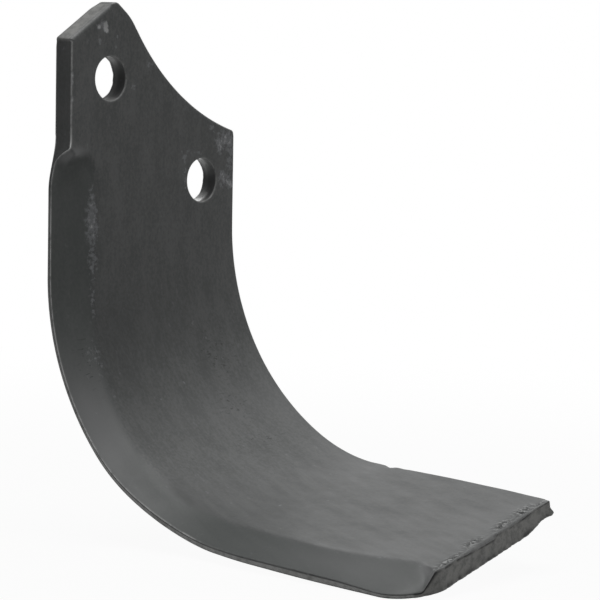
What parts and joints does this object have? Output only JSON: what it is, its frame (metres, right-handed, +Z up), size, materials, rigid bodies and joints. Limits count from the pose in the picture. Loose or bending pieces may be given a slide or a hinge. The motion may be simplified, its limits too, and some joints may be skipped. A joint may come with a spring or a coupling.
{
  "type": "rotary tiller blade",
  "caption": "Rotary tiller blade: a flat forged steel bar with a bevelled cutting edge, punched shank with a pointed head, wide bend and slanted wing that cuts and throws soil.",
  "frame": {"origin": "on the mounting face, midway between the bolt holes", "axes": "+Y out of the mounting face, +Z up the shank towards its head, -X towards the cutting edge"},
  "size_m": [0.1029, 0.1701, 0.1738],
  "materials": {
    "forged_steel": "dark, heat-treated and fine-grained, half matt"
  },
  "bodies": {
    "root": {"tiller_blade": "forged_steel"}
  },
  "joints": []
}
